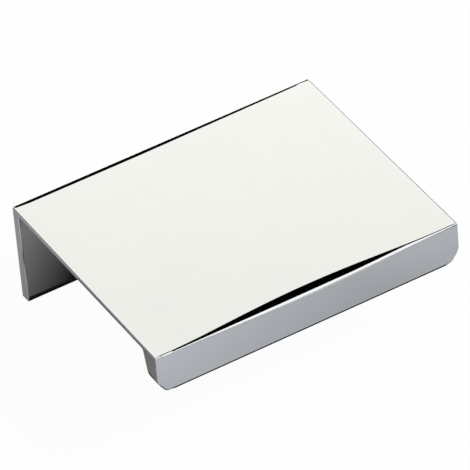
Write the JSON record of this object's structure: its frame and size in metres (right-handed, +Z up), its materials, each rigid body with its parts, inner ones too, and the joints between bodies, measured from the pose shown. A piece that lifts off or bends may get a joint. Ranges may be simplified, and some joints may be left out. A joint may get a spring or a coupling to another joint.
{
  "type": "tab pull",
  "caption": "One-piece chrome edge pull: a flat plate over the door edge, a thin screwed leg behind it and a short thick finger lip in front.",
  "frame": {"origin": "middle of the screw line, on the face of the back leg that seats against the back of the door", "axes": "+X along the pull and the door edge, -Y towards the user and out of the leg's seat face, +Z up"},
  "size_m": [0.05, 0.0406, 0.017],
  "materials": {
    "chrome": "mirror-polished chrome plate over a zinc casting"
  },
  "bodies": {
    "root": {"tab_pull": "chrome"}
  },
  "joints": []
}
